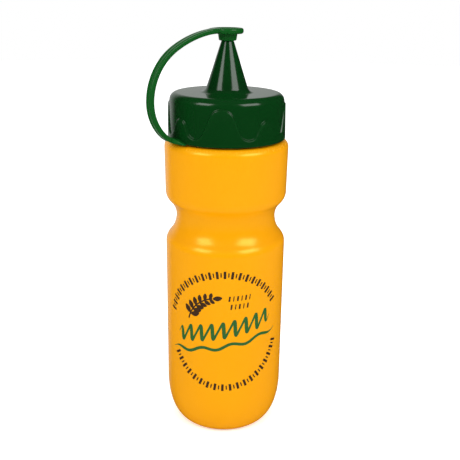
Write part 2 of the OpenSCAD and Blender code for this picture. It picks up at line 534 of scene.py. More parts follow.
BOTTLE_PLASTIC = MouldedPlastic(
    name="orange_polyethylene", colour=(0.73, 0.290, 0.0), roughness=0.22, colour_spread=0.02,
    gloss_spread=0.04, peel_size=1.5, peel_depth=0.012, flow_depth=0.03, edge_rub=0.12, specular=0.80,
    gloss_tint=(1.0, 0.95, 0.24))
LID_PLASTIC = MouldedPlastic(
    name="dark_green_polypropylene", colour=(0.0012, 0.029, 0.0040), roughness=0.15, colour_spread=0.05,
    gloss_spread=0.05, peel_size=1.1, peel_depth=0.004, flow_depth=0.006, edge_rub=0.12, specular=0.38)
STRAP_PLASTIC = MouldedPlastic(
    name="mid_green_polyethylene", colour=(0.0028, 0.068, 0.0075), roughness=0.24, colour_spread=0.05,
    gloss_spread=0.05, peel_size=0.9, peel_depth=0.005, flow_depth=0.004, edge_rub=0.12, specular=0.26)
SEAL_FOAM = SealFoam(name="seal_foam", colour=(0.85, 0.85, 0.82), cell_size=0.35, cell_depth=0.05)
DARK_INK = PrintInk(
    name="dark_ink", colour=(0.030, 0.012, 0.003), thin_colour=(0.20, 0.075, 0.002), roughness=0.42)
GREEN_INK = PrintInk(
    name="green_ink", colour=(0.008, 0.105, 0.018), thin_colour=(0.10, 0.17, 0.012), roughness=0.40)
FLOOR_FINISH = StudioFloor(name="studio_floor", colour=(0.94, 0.94, 0.94), glow=0.30)


# ---------------------------------------------------------------- pieces


def make_piece(name: str, shell: Shell, material: bpy.types.Material, sharp: float) -> bpy.types.Object:
    """Makes an object at the origin from a shell.

    Args:
        name: Name of the piece.
        shell: Its surface, in millimetres.
        material: Its material.
        sharp: Edges that turn by more than this angle, in degrees, stay sharp.

    Returns:
        The object, with its place in its mesh and the wear as a point attribute.
    """
    mesh = bpy.data.meshes.new(name)
    mesh.from_pydata(shell.points * MM, [], shell.faces)
    mesh.shade_smooth()
    mesh.set_sharp_from_angle(angle=math.radians(sharp))
    wear = mesh.attributes.new("wear", "FLOAT", "POINT")
    wear.data.foreach_set("value", shell.wear.astype(np.float32))
    mesh.materials.append(material)
    mesh.validate()
    piece = bpy.data.objects.new(name, mesh)
    bpy.context.scene.collection.objects.link(piece)
    log.info("%s: %d faces", name, len(mesh.polygons))
    return piece


@dataclass
class Thread:
    """Screw thread that the neck and the lid share.

    The ridge is root wide at its foot and crest wide at its top, stands off its wall by height, and
    leaves gap to the other wall. It starts rise above the lid's rim on the neck, and half a pitch higher
    in the lid. It fades in and out over fade turns.
    """

    pitch: float = 5.0
    turns: float = 1.6
    height: float = 1.1
    root: float = 2.2
    crest: float = 1.0
    gap: float = 0.5
    rise: float = 4.4
    fade: float = 0.17


@dataclass
class Bottle:
    """Blow-moulded bottle with a waist groove and a threaded neck.

    The base is pushed up inside push_r by push_h, over a slope of push_lean degrees, and stands on the
    ring between the slope and the corner, which is a quarter ellipse. The waist reaches waist_low below
    and waist_high above its narrowest point. The parting line starts seam_start above the table, and
    eases in over seam_in and out over seam_out below the shoulder.
    """

    rim_z: float
    upper_r: float
    thread: Thread
    thread_z: float
    body_r: float = 36.75
    wall: float = 1.2
    corner_w: float = 10.7
    corner_h: float = 27.0
    push_r: float = 20.0
    push_h: float = 2.0
    push_lean: float = 27.0
    push_round: float = 2.0
    stand_round: float = 1.0
    pole_r: float = 0.5
    waist_z: float = 137.4
    waist_depth: float = 6.5
    waist_low: float = 17.0
    waist_high: float = 15.6
    waist_edge_r: float = 8.4
    shoulder_z: float = 184.5
    shoulder_r: float = 4.5
    neck_r: float = 30.05
    neck_wall: float = 1.6
    neck_foot_r: float = 1.2
    rim_round: float = 0.5
    seam_h: float = 0.07
    seam_w: float = 0.5
    seam_start: float = 1.0
    seam_in: float = 6.0
    seam_out: float = 3.0
    columns: int = 288
    bunching: float = 0.35

    def skin(self, depth: float) -> np.ndarray:
        """Outline from the base's corner to the shoulder, at a depth under the outer skin.

        The corner is a quarter ellipse. The waist is a concave arc on each side of its narrowest point,
        and each of the two meets the straight wall through a convex arc that is tangent to both.

        Args:
            depth: 0 for the outer skin, or the wall's thickness for the inner one.

        Returns:
            Array (n, 2), from the bottom up.
        """
        waist_r = self.body_r - self.waist_depth
        stretches = [arc((self.body_r - self.corner_w, self.corner_h),
                         (self.corner_w - depth, self.corner_h - depth), -90, 0, 40)]
        sides = ((-1, self.waist_low), (1, self.waist_high))
        for side, reach in sides:
            turn = math.degrees(2 * math.atan(self.waist_depth / reach))
            groove_r = reach / math.sin(math.radians(turn)) - self.waist_edge_r
            edge = arc((self.body_r - self.waist_edge_r, self.waist_z + side * reach),
                       self.waist_edge_r - depth, 0, -side * turn, 12)
            groove = arc((waist_r + groove_r, self.waist_z), groove_r + depth, 180 - side * turn, 180, 16)
            stretches += [edge, groove] if side < 0 else [groove[::-1], edge[::-1]]
        stretches.append(arc((self.upper_r - self.shoulder_r, self.shoulder_z - self.shoulder_r),
                             self.shoulder_r - depth, 0, 90, 14))
        return outline(*stretches)

    def profile(self) -> tuple[np.ndarray, int, int]:
        """Outline from the base's middle over the rim and back down inside.

        Returns:
            Array (n, 2), and the first row of the neck's wall and the first row past it.
        """
        slope_x = self.push_r - 2 * self.push_h
        roof_x = slope_x - self.push_round
        base = outline(
            line((self.pole_r, self.push_h), (roof_x, self.push_h), 6),
            arc((roof_x, self.push_h - self.push_round), self.push_round, 90, 90 - self.push_lean, 4),
            arc((self.push_r + 0.9, self.stand_round), self.stand_round, 270 - self.push_lean, 270, 4),
            line((self.push_r + 1.5, 0), (self.body_r - self.corner_w - 0.2, 0)))
        foot_z = self.shoulder_z + self.neck_foot_r
        foot = arc((self.neck_r + self.neck_foot_r, foot_z), self.neck_foot_r, 270, 180, 6)
        outside = outline(base, self.skin(0), foot)
        round_z = self.rim_z - self.rim_round
        neck_rows = round((round_z - foot_z) / THREAD_ROW)
        neck = line((self.neck_r, foot_z), (self.neck_r, round_z), neck_rows)
        bore = self.neck_r - self.neck_wall
        rim = outline(arc((self.neck_r - self.rim_round, round_z), self.rim_round, 0, 90, 5),
                      arc((bore + self.rim_round, round_z), self.rim_round, 90, 180, 5))
        floor_z = self.push_h + self.wall
        inside = outline(line((bore, self.rim_z - 1), (bore, self.shoulder_z), 8),
                         self.skin(self.wall)[::-1],
                         line((self.push_r + 1, self.wall), (slope_x, floor_z), 4),
                         line((slope_x, floor_z), (self.pole_r, floor_z), 4))
        return outline(outside, neck, rim, inside), len(outside), len(outside) + neck_rows

    def seam(self, angle: np.ndarray) -> np.ndarray:
        """Mould's parting line: a low ridge at both sides, h * exp(-(x / w)^2) at x millimetres from it."""
        off = (np.mod(angle + math.pi / 2, math.pi) - math.pi / 2) * self.body_r
        return self.seam_h * np.exp(-(off / self.seam_w) ** 2)

    def shell(self) -> Shell:
        """Surface of revolution, with the thread's ridge on the neck and the parting line on the body.

        The columns stand at e - bunching * sin 2e, with e growing evenly, which crowds them towards the
        parting line.

        Returns:
            The shell.
        """
        points, first, last = self.profile()
        even = np.arange(self.columns) / self.columns * TURN
        angle = even - np.sin(2 * even) * self.bunching
        radius = np.repeat(points[:, :1], self.columns, axis=1)
        height = points[:, 1:]
        ridge = helix_ridge(angle[None], height[first:last], self.thread_z, self.thread)
        radius[first:last] += ridge
        ease_in = smooth((height[:first] - self.seam_start) / self.seam_in)
        ease_out = smooth((self.shoulder_z - height[:first]) / self.seam_out)
        radius[:first] += self.seam(angle)[None] * ease_in * ease_out
        wear = corner_wear(points, 3.0)
        wear[last:] = 0
        return grid_shell(polar_grid(radius, angle[None], height), Ends.POLES, wear)

    def build(self) -> None:
        """Makes the bottle."""
        piece = make_piece("bottle_shell", self.shell(), BOTTLE_PLASTIC.material(), 40)
        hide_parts("bottle")
        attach(piece, "bottle")


@dataclass
class Scallop:
    """Wave of tall and short arches round the lid's band, on the unrolled wall.

    x runs round the wall from the middle of a tall arch, and height is above the lid's rim. A tall arch,
    a valley and a short arch are circles, joined by the straight lines that touch them.
    """

    pitch: float
    tall_top: float = 21.0
    tall_r: float = 7.3
    valley_x: float = 16.1
    valley_z: float = 9.3
    valley_r: float = 5.5
    short_top: float = 13.8
    short_r: float = 4.6
    samples: int = 64

    @staticmethod
    def touch_angle(first: np.ndarray, second: np.ndarray, reach: float) -> float:
        """Direction of the normal of the line that touches two circles.

        It is the bearing from one centre to the other, turned on by acos(reach / their distance).

        Args:
            first: Centre of the circle that the line leaves.
            second: Centre of the circle that it arrives at.
            reach: Sum of the radii, negative from a valley to an arch.

        Returns:
            The direction in degrees.
        """
        gap = second - first
        bearing = math.degrees(math.atan2(gap[1], gap[0]))
        return bearing + math.degrees(math.acos(reach / np.linalg.norm(gap)))

    def half_period(self) -> tuple[np.ndarray, np.ndarray]:
        """Wave from the middle of a tall arch to the middle of a short one, in even steps along it.

        Returns:
            Points (samples + 1, 2), and the normal's direction at each in radians.
        """
        tall = np.array([0, self.tall_top - self.tall_r])
        valley = np.array([self.valley_x, self.valley_z])
        short = np.array([self.pitch, self.short_top - self.short_r])
        leave = self.touch_angle(tall, valley, self.tall_r + self.valley_r)
        arrive = self.touch_angle(valley, short, -(self.valley_r + self.short_r))
        count = 60
        heading = np.radians(np.linspace((90, leave, arrive), (leave, arrive, 90), count).T.ravel())
        normal = np.stack([np.cos(heading), np.sin(heading)], axis=1)
        centre = np.repeat([tall, valley, short], count, axis=0)
        radius = np.repeat([self.tall_r, -self.valley_r, self.short_r], count)
        dense = centre + radius[:, None] * normal
        length = np.r_[0, np.cumsum(np.linalg.norm(np.diff(dense, axis=0), axis=1))]
        even = np.linspace(0, length[-1], self.samples + 1)
        points = np.stack([np.interp(even, length, dense[:, k]) for k in range(2)], axis=1)
        return points, np.interp(even, length, heading)

    def around(self, periods: int) -> tuple[np.ndarray, np.ndarray]:
        """Repeats the half wave, mirrored and not, all the way round.

        Args:
            periods: Number of tall arches.

        Returns:
            The wave's points and its unit normals, as arrays (columns, 2).
        """
        points, heading = self.half_period()
        back = points[::-1] * [-1, 1] + [2 * self.pitch, 0]
        one = np.concatenate([points[:-1], back[:-1]])
        turn = np.concatenate([heading[:-1], math.pi - heading[::-1][:-1]])
        wave = np.concatenate([one + [2 * self.pitch * k, 0] for k in range(periods)])
        turn = np.tile(turn, periods)
        return wave, np.stack([np.cos(turn), np.sin(turn)], axis=1)


@dataclass
class Lid:
    """Screw lid with a raised scalloped band and a conical nozzle.

    The rim stays seat above the bottle's shoulder, and height is from the rim to the flat top. The band
    tapers up to band_top above the rim. The ledge_w wide ledge round the band follows the scallops, with
    a tall arch turned by arch_turn degrees from the front. The nozzle is a cone of cone_angle to its
    axis with a fillet of foot_r at its foot, and the top is top_t thick.
    """

    rim_z: float
    tip_z: float
    in_r: float
    thread: Thread
    seat: float = 0.8
    height: float = 26.4
    top_t: float = 1.8
    band_low_r: float = 35.0
    band_high_r: float = 34.5
    band_top: float = 22.0
    recess_low_r: float = 34.1
    recess_high_r: float = 33.75
    ledge_w: float = 1.1
    edge_r: float = 4.4
    rim_round: float = 0.45
    arch_turn: float = -4.4
    arch_pairs: int = 4
    tip_r: float = 2.35
    cone_angle: float = 18.0
    cone_wall: float = 1.6
    bore_r: float = 1.5
    foot_r: float = 4.0
    tip_round: float = 0.35
    bore_round: float = 0.2
    under_round: float = 0.6

    def band_radius(self, height: np.ndarray) -> np.ndarray:
        """Radius of the raised band, which tapers from the rim to the top of the tall arches."""
        return np.interp(height - self.rim_z, [0, self.band_top], [self.band_low_r, self.band_high_r])

    def recess_radius(self, height: np.ndarray) -> np.ndarray:
        """Radius of the skirt above the band, which tapers from the rim to the top edge."""
        return np.interp(height - self.rim_z, [0, self.height], [self.recess_low_r, self.recess_high_r])

    def skirt(self) -> tuple[np.ndarray, np.ndarray, np.ndarray, np.ndarray]:
        """Outside of the skirt, with its columns bunched along the wave.

        Rows run from the rim up to the wave, across the ledge at right angles to the wave, and on up to
        the top edge. Across the ledge the radius eases from the band's to the recess's.

        Returns:
            Radius, angle and height of each point, and the wear of each row.
        """
        mean_r = (self.band_low_r + self.band_high_r) / 2
        wave, normal = Scallop(pitch=math.pi * mean_r / self.arch_pairs).around(self.arch_pairs)
        wave = wave + [0, self.rim_z]
        half = self.ledge_w / 2
        lower, upper = wave - normal * half, wave + normal * half
        rim = np.stack([wave[:, 0], np.full(len(wave), self.rim_z + self.rim_round)], axis=1)
        top = np.stack([wave[:, 0], np.full(len(wave), self.rim_z + self.height - self.edge_r)], axis=1)
        steps, ledge_rows = 8, 15
        up = np.linspace(0, 1, steps + 1)[:, None, None]
        across = np.linspace(-half, half, ledge_rows)[:, None, None]
        on = np.concatenate([rim + (lower - rim) * up[:-1], wave + normal * across,
                             upper + (top - upper) * up[1:]])
        share = np.r_[np.zeros(steps), smooth(np.linspace(0, 1, ledge_rows)), np.ones(steps)][:, None]
        height = on[:, :, 1]
        radius = self.band_radius(height) * (1 - share) + self.recess_radius(height) * share
        angle = math.radians(self.arch_turn - 90) + on[:, :, 0] / mean_r
        wear = np.r_[np.zeros(steps - 2), 0.3, 0.6, np.linspace(1, 0, ledge_rows), np.zeros(steps)]
        return radius, angle, height, wear

    def cone_r(self, z: float) -> float:
        """Outer radius of the nozzle's cone at a height."""
        return self.tip_r + (self.tip_z - z) * math.tan(math.radians(self.cone_angle))

    def upper_outline(self) -> np.ndarray:
        """Outline from the top edge over the flat top and the nozzle, and down its bore to the underside.

        The bore is straight near the tip, where the cone's wall would leave less than bore_r, and a cone
        under that.

        Returns:
            Array (n, 2).
        """
        top_z = self.rim_z + self.height
        under_z = top_z - self.top_t
        lean = math.radians(self.cone_angle)
        shift = self.cone_wall / math.cos(lean)
        foot_z = top_z + self.foot_r
        foot_x = self.cone_r(foot_z) + self.foot_r / math.cos(lean)
        foot = arc((foot_x, foot_z), self.foot_r, 270, 180 + self.cone_angle, 14)
        edge_x = self.recess_high_r - self.edge_r
        edge = arc((edge_x, top_z - self.edge_r), self.edge_r, 6, 90, 13)  # the skirt's last row is at 0
        round_z = self.tip_z - self.tip_round
        tip = arc((self.cone_r(round_z) - self.tip_round, round_z), self.tip_round, self.cone_angle, 90, 5)
        bore_z = self.tip_z - (self.bore_r + shift - self.tip_r) / math.tan(lean)
        under_x = self.in_r - self.under_round
        bore_x = self.cone_r(under_z) - shift
        return outline(
            edge, line((edge_x - 0.5, top_z), (foot_x + 0.5, top_z), 6), foot,
            line(foot[-1], (self.cone_r(self.tip_z - 1), self.tip_z - 1), 14)[1:], tip,
            arc((self.bore_r + self.bore_round, self.tip_z - self.bore_round), self.bore_round, 90, 180, 4),
            line((self.bore_r, self.tip_z - 1), (self.bore_r, bore_z), 4),
            line((self.bore_r, bore_z), (bore_x, under_z), 8)[1:],
            line((bore_x, under_z), (under_x, under_z), 5)[1:],
            arc((under_x, under_z - self.under_round), self.under_round, 90, 0, 4))

    def shell(self) -> Shell:
        """Skirt, top, nozzle and threaded inner wall as one ring-shaped grid.

        The lid's thread starts half a pitch above the neck's, so that the two ridges lie between each
        other.

        Returns:
            The shell.
        """
        radius, angle, height, wear = self.skirt()
        columns = angle.shape[1]
        upper = self.upper_outline()
        low_z = self.rim_z + self.rim_round
        inner_rows = round((self.height - self.top_t - 2) / THREAD_ROW)
        inner = line((self.in_r, upper[-1, 1] - 0.3), (self.in_r, low_z + 0.2), inner_rows)
        rim = outline(arc((self.in_r + self.rim_round, low_z), self.rim_round, 180, 270, 5),
                      arc((self.band_low_r - self.rim_round, low_z), self.rim_round, 270, 355, 6))
        around = angle[0][None]
        start = self.rim_z + self.thread.rise + self.thread.pitch / 2
        inner_r = self.in_r - helix_ridge(around, inner[:, 1:], start, self.thread)
        spread = np.ones((1, columns))
        radius = np.concatenate([radius, upper[:, :1] * spread, inner_r, rim[:, :1] * spread])
        height = np.concatenate([height, upper[:, 1:] * spread, inner[:, 1:] * spread, rim[:, 1:] * spread])
        plain = len(upper) + inner_rows + len(rim)
        angle = np.concatenate([angle, np.repeat(around, plain, axis=0)])
        wear = np.concatenate([wear, corner_wear(upper, 1.0), np.zeros(inner_rows), np.full(len(rim), 0.8)])
        return grid_shell(polar_grid(radius, angle, height), Ends.LOOP, wear)

    def build(self) -> None:
        """Makes the lid."""
        piece = make_piece("lid_shell", self.shell(), LID_PLASTIC.material(), 40)
        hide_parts("screw_lid")
        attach(piece, "screw_lid")


@dataclass
class NeckSeal:
    """Flat foam ring between the neck's rim and the lid, with corners rounded by soft."""

    low_z: float
    high_z: float
    outer_r: float
    bore_r: float = 28.45
    soft: float = 0.3

    def build(self) -> None:
        """Makes the ring, a rectangle with rounded corners turned about the axis."""
        corners = ((self.outer_r, self.high_z, 0), (self.bore_r, self.high_z, 90),
                   (self.bore_r, self.low_z, 180), (self.outer_r, self.low_z, 270))
        middle = (self.outer_r + self.bore_r) / 2
        centre_z = (self.low_z + self.high_z) / 2
        rounds = [arc((r - math.copysign(self.soft, r - middle), z - math.copysign(self.soft, z - centre_z)),
                      self.soft, turn, turn + 90, 5) for r, z, turn in corners]
        shell = revolve(outline(*rounds), 160, Ends.LOOP)
        piece = make_piece("neck_seal_ring", shell, SEAL_FOAM.material(), 50)
        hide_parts("neck_seal")
        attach(piece, "neck_seal")


@dataclass
class TipCap:
    """Disc with a dished top, and a skirt that fits over the nozzle's tip.

    The rim keeps a straight rim_flat between its two rounds. The skirt narrows by taper towards its
    rounded lip, and a plug hangs in the socket.
    """

    disc_r: float
    top_z: float
    skirt_z: float
    disc_t: float = 3.2
    rim_flat: float = 0.7
    dish: float = 0.55
    dish_slope: float = 1.0
    dish_round: float = 0.5
    pole_r: float = 0.3
    skirt_r: float = 5.5
    neck_round: float = 0.5
    taper: float = 0.35
    lip_r: float = 0.8
    socket_r: float = 4.3
    socket_round: float = 0.3
    socket_lip: float = 0.2
    plug_r: float = 1.0
    plug_h: float = 0.5

    def profile(self) -> np.ndarray:
        """Outline from the top's middle over the rim, down the skirt and up the socket to the plug's end.

        Returns:
            Array (n, 2).
        """
        under_z = self.top_z - self.disc_t
        soft = (self.disc_t - self.rim_flat) / 2
        floor_z = self.top_z - self.dish
        brim = self.disc_r - 2 * soft
        dish_x = brim - self.dish_slope
        narrow = self.skirt_r - self.taper
        lip, bend, plug_z = self.socket_lip, self.socket_round, under_z - self.plug_h
        return outline(
            line((self.pole_r, floor_z), (dish_x, floor_z), 5),
            arc((dish_x, floor_z + self.dish_round), self.dish_round, 270, 315, 4),
            arc((brim + 0.2, self.top_z - self.dish_round), self.dish_round, 135, 90, 4),
            arc((self.disc_r - soft, self.top_z - soft), soft, 90, 0, 9),
            arc((self.disc_r - soft, under_z + soft), soft, 0, -90, 9),
            arc((self.skirt_r + self.neck_round, under_z - self.neck_round), self.neck_round, 90, 180, 5),
            line((self.skirt_r, under_z - self.neck_round - 0.1),
                 (narrow, self.skirt_z + self.lip_r + 0.1), 4),
            arc((narrow - self.lip_r, self.skirt_z + self.lip_r), self.lip_r, 0, -90, 8),
            arc((self.socket_r + lip, self.skirt_z + lip), lip, 270, 180, 3),
            line((self.socket_r, self.skirt_z + 2 * lip), (self.socket_r, under_z - bend), 4),
            arc((self.socket_r - bend, under_z - bend), bend, 0, 90, 3),
            line((self.plug_r + 0.2, under_z), (self.plug_r, under_z - 0.15)),
            line((self.plug_r, plug_z + 0.15), (self.pole_r, plug_z), 3))

    def build(self) -> None:
        """Makes the cap."""
        points = self.profile()
        shell = revolve(points, 160, Ends.POLES, corner_wear(points, 0.8))
        piece = make_piece("cap_body", shell, STRAP_PLASTIC.material(), 45)
        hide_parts("tip_cap")
        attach(piece, "tip_cap")


@dataclass
class Strap:
    """Flexible strap from the lid's rim to the cap, which lies in an upright plane through the axis.

    Its middle line is four arcs, each tangent to the next: root, rise, bow and crown. The bodies divide
    it into a root and eight links, and each visible span runs from the middle of one body's stretch to
    the middle of the next, bending over the joint between them.

    reach is the distance from the axis to the rise's outermost point, at the height level, and turn is
    the plane's angle in radians. The root starts root_sink inside the lid's wall, and the last span ends
    cap_sink past the last link, inside the cap. A flare is as wide as given at its root, falls to the
    strap's width over its reach, and loses the share fin_thin of its thickness towards its edges.
    """

    reach: float
    level: float
    turn: float
    rim_r: float
    cap_r: float
    links: tuple
    last_body: str
    root_body: str
    width: float = 5.6
    thickness: float = 2.8
    corner_r: float = 0.75
    crease: float = 0.12
    flare_w: float = 19.0
    flare_reach: float = 7.5
    cap_flare_w: float = 9.5
    cap_flare_reach: float = 5.0
    fin_thin: float = 0.85
    root_sink: float = 1.2
    cap_sink: float = 2.4
    root_r: float = 13.0
    rise_r: float = 26.0
    bow_r: float = 34.0
    crown_r: float = 60.0
    rise_a: float = 45.0
    bow_a: float = 58.0
    link_gap: float = 0.3
    rows: int = 22
    end_rows: int = 6

    def stretches(self) -> list[tuple]:
        """Divides the middle line among the bodies.

        Returns:
            Centre, radius, first and last angle in degrees of each body's stretch, from the root on.
        """
        rise = np.array([self.reach - self.rise_r, self.level])
        down = math.radians(-self.rise_a)
        root = rise + (self.rise_r - self.root_r) * np.array([math.cos(down), math.sin(down)])
        bow = np.array([self.reach - self.bow_r, self.level])
        lean = math.radians(self.bow_a)
        crown = bow + (self.bow_r - self.crown_r) * np.array([math.cos(lean), math.sin(lean)])
        end_x = self.cap_r + self.link_gap
        crown_a = math.degrees(math.acos((end_x - crown[0]) / self.crown_r))
        arcs = ((rise, self.rise_r, -self.rise_a, 0, 2), (bow, self.bow_r, 0, self.bow_a, 3),
                (crown, self.crown_r, self.bow_a, crown_a, 3))
        found = [(root, self.root_r, -90, -self.rise_a)]
        for centre, radius, first, last, count in arcs:
            cuts = np.linspace(first, last, count + 1)
            found += [(centre, radius, cuts[k], cuts[k + 1]) for k in range(count)]
        return found

    def half(self, stretch: tuple, share: tuple, rows: int) -> np.ndarray:
        """Part of a stretch: centre + radius * (cos t, sin t), with the normal along t.

        Args:
            stretch: Centre, radius, first and last angle in degrees.
            share: Where the part starts and ends, as shares of the stretch.
            rows: Number of rows.

        Returns:
            Rows of (distance, height, normal's angle in radians).
        """
        centre, radius, first, last = stretch
        t = np.radians(first + (last - first) * np.linspace(*share, rows))
        return np.stack([centre[0] + radius * np.cos(t), centre[1] + radius * np.sin(t), t], axis=1)

    def section(self) -> tuple[np.ndarray, np.ndarray, np.ndarray, np.ndarray]:
        """Rounded rectangle with a shallow crease, crease * cos^2, along its outer face.

        Returns:
            The place of each point's corner along the thickness and the width, from -1 to 1, and the
            point's offset from there.
        """
        round_steps, face_steps = 6, 11
        t = np.radians(np.linspace(0, 90, round_steps))
        places, offsets = [], []
        for number, corner in enumerate(((1, 1), (-1, 1), (-1, -1), (1, -1))):
            turn = t + number * math.pi / 2
            places.append(np.repeat([corner], round_steps, axis=0))
            offsets.append(np.stack([np.cos(turn), np.sin(turn)], axis=1) * self.corner_r)
            if number % 2 == 1:
                face = 1 if number == 3 else -1
                across = np.linspace(-face, face, face_steps + 2)[1:-1]
                dip = self.crease * np.cos(across * math.pi / 2) ** 2 * (face > 0)
                places.append(np.stack([np.full(face_steps, face), across], axis=1))
                offsets.append(np.stack([face * self.corner_r - dip, np.zeros(face_steps)], axis=1))
        place, offset = np.concatenate(places), np.concatenate(offsets)
        return place[:, 0], place[:, 1], offset[:, 0], offset[:, 1]

    def sweep(self, spine: np.ndarray, width: np.ndarray) -> Shell:
        """Carries the section along rows of (distance, height, normal's angle).

        A point is spine + normal * out + side * across, where side is level and square to the plane. Past
        the strap's own width a flare thins towards its outer face.

        Args:
            spine: Rows of the middle line.
            width: Width of the strap at each row.

        Returns:
            The shell, closed by a flat face at each end.
        """
        sign_t, sign_w, off_t, off_w = self.section()
        across = sign_w[None] * (width[:, None] / 2 - self.corner_r) + off_w[None]
        own = self.width / 2
        fin = np.clip((np.abs(across) - own) / (self.flare_w / 2 - own), 0, 1)
        out = sign_t * (self.thickness / 2 - self.corner_r) + off_t
        out = out + (self.thickness / 2 - out) * self.fin_thin * fin
        along = np.array([math.cos(self.turn), math.sin(self.turn)])
        side = np.array([-along[1], along[0]])
        distance = spine[:, :1] + np.cos(spine[:, 2:]) * out
        height = spine[:, 1:2] + np.sin(spine[:, 2:]) * out
        flat = distance[..., None] * along + across[..., None] * side
        grid = np.concatenate([flat, height[..., None]], axis=-1)
        shell = grid_shell(grid, Ends.FLAT)
        shell.wear[:] = np.tile(off_t * off_w != 0, len(spine)) * 0.5
        return shell

    def flared(self, past: np.ndarray, full: float, reach: float) -> np.ndarray:
        """Width at a distance past a flare: it falls as (1 - past / reach)^3 to the strap's own."""
        return self.width + (full - self.width) * (1 - np.clip(past / reach, 0, 1)) ** 3

    def spans(self) -> list[np.ndarray]:
        """Middle line of the root piece and of each span.

        Returns:
            For each, rows of (distance, height, normal's angle in radians).
        """
        parts = self.stretches()
        foot = parts[0][0] + [0, -self.root_r]
        from_lid = np.linspace(self.rim_r - self.root_sink, foot[0] - 0.1, self.end_rows)
        level_foot = np.column_stack([from_lid, np.full(self.end_rows, foot[1]),
                                      np.full(self.end_rows, -math.pi / 2)])
        rows = [np.concatenate([level_foot, self.half(parts[0], (0, 0.5), self.rows)])]
        for before, after in zip(parts[:-1], parts[1:]):
            rows.append(np.concatenate([self.half(before, (0.5, 1), self.rows),
                                        self.half(after, (0, 0.5), self.rows)[1:]]))
        tail = self.half(parts[-1], (0.5, 1), self.rows)
        heading = np.array([-math.sin(tail[-1, 2]), math.cos(tail[-1, 2])])
        past = np.linspace(self.link_gap, self.cap_sink, self.end_rows)[:, None]
        stub = tail[-1, :2] + past * heading
        rows.append(np.concatenate([tail, np.column_stack([stub, np.full(self.end_rows, tail[-1, 2])])]))
        return rows

    def build(self) -> None:
        """Makes the root, which rides on the lid, and the spans over the joints, which are baked in place on
        no body.
        """
        material = STRAP_PLASTIC.material()
        root, *spans = self.spans()
        width = self.flared(root[:, 0] - self.rim_r, self.flare_w, self.flare_reach)
        piece = make_piece("strap_root", self.sweep(root, width), material, 50)
        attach(piece, self.root_body)
        for number, spine in enumerate(spans):
            past = spine[:, 0] - self.cap_r if number == len(self.links) else np.full(len(spine), np.inf)
            shell = self.sweep(spine, self.flared(past, self.cap_flare_w, self.cap_flare_reach))
            piece = make_piece(f"strap_span_{number + 1}", shell, material, 50)
            if number < len(self.links):
                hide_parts(self.links[number])
            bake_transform(piece)


